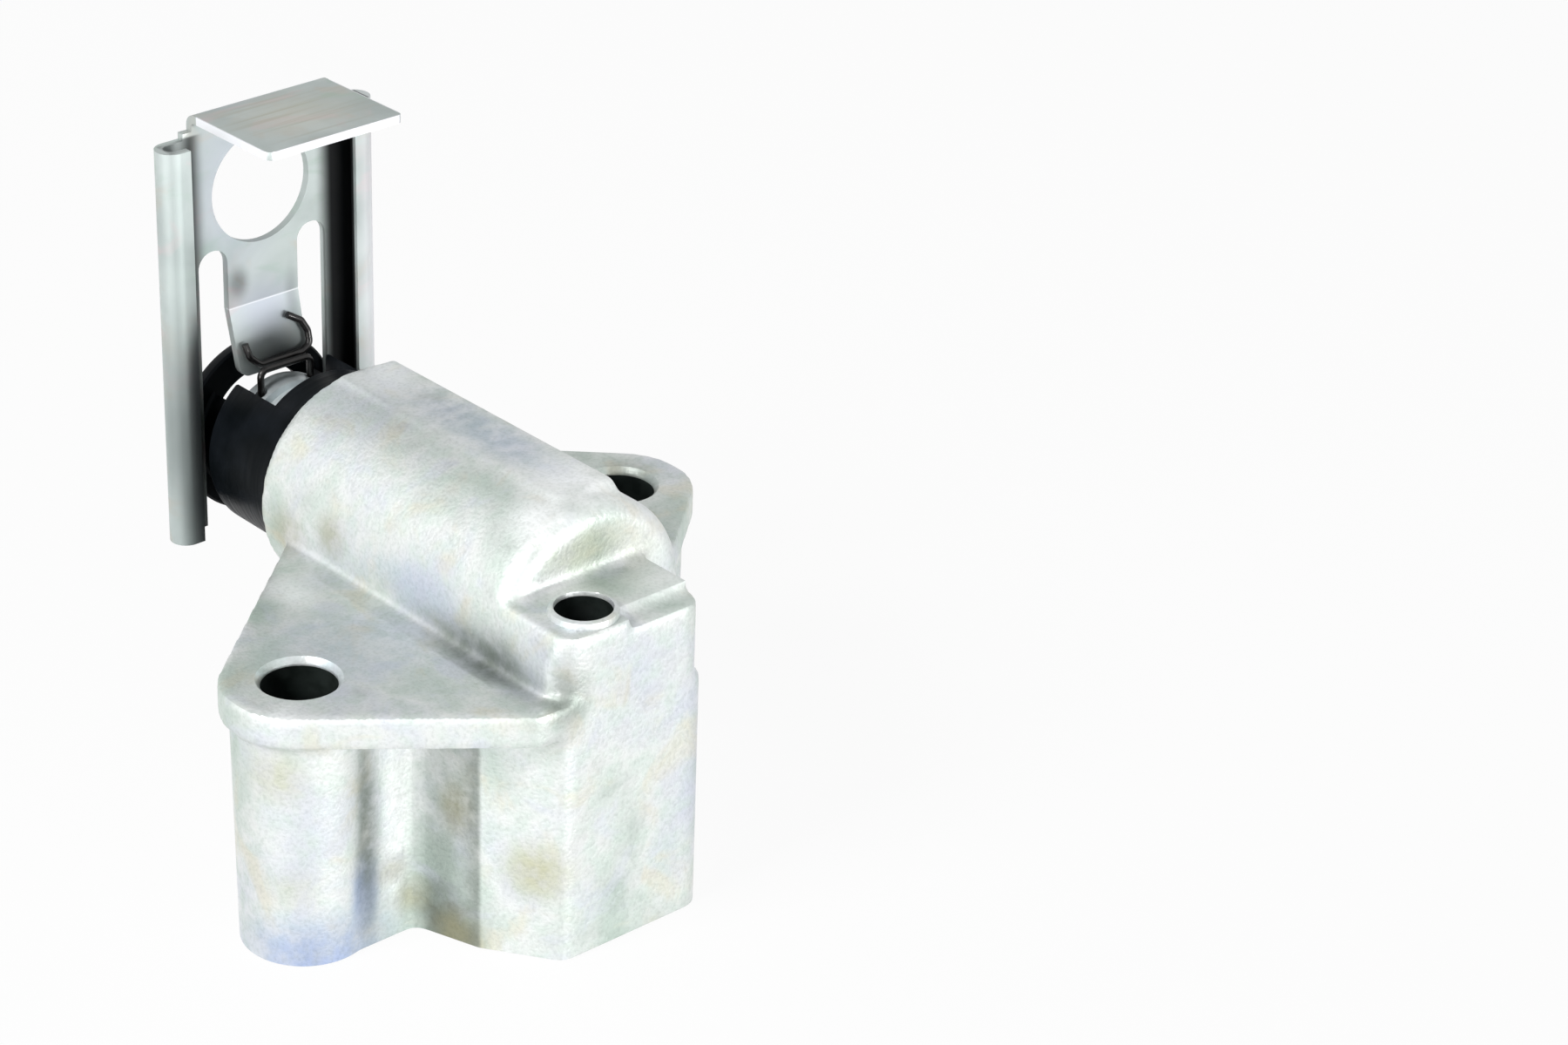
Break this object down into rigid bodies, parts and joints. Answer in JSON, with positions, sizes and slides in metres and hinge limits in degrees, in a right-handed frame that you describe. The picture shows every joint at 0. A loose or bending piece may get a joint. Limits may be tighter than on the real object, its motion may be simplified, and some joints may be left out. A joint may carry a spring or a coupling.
{
  "type": "timing chain tensioner",
  "caption": "Hydraulic timing chain tensioner: die-cast housing with two bolt ears, sliding plunger and a folded steel chain rail",
  "frame": {"origin": "on the flat mounting face, below the plunger's axis and level with the left ear's bolt hole along Y", "axes": "+Y the way the plunger moves out, +Z from the mounting face towards the bolt heads, +X to the right ear"},
  "size_m": [0.0738, 0.0739, 0.0765],
  "materials": {
    "cast_alloy": "die cast, satin, stained",
    "black_steel": "black oxide, satin",
    "plug_steel": "turned",
    "sheet_steel": "rolled, bright",
    "spring_wire": "dark oxidised wire",
    "valve_steel": "hardened, bright"
  },
  "bodies": {
    "housing": {"housing": "cast_alloy", "gallery_ball": "valve_steel", "valve_seat": "valve_steel", "ball_cage": "sheet_steel", "check_spring": "spring_wire", "plunger_spring": "spring_wire"},
    "plunger": {"plunger": "black_steel", "thrust_plug": "plug_steel", "rail": "sheet_steel", "retaining_clip": "spring_wire", "retaining_staple": "spring_wire"},
    "check_ball": {"check_ball": "valve_steel"}
  },
  "joints": [
    {"name": "plunger_slide", "type": "slide", "parent": "housing", "child": "plunger", "axis": [0, 1, 0], "range_m": [-0.0115, 0], "stiffness_N_per_m": 1500, "springref_m": 0.002, "deforming": ["plunger_spring"]},
    {"name": "check_ball_slide", "type": "slide", "parent": "housing", "child": "check_ball", "axis": [0, 1, 0], "range_m": [0, 0.0008], "stiffness_N_per_m": 50, "springref_m": -0.001, "deforming": ["check_spring"]}
  ]
}
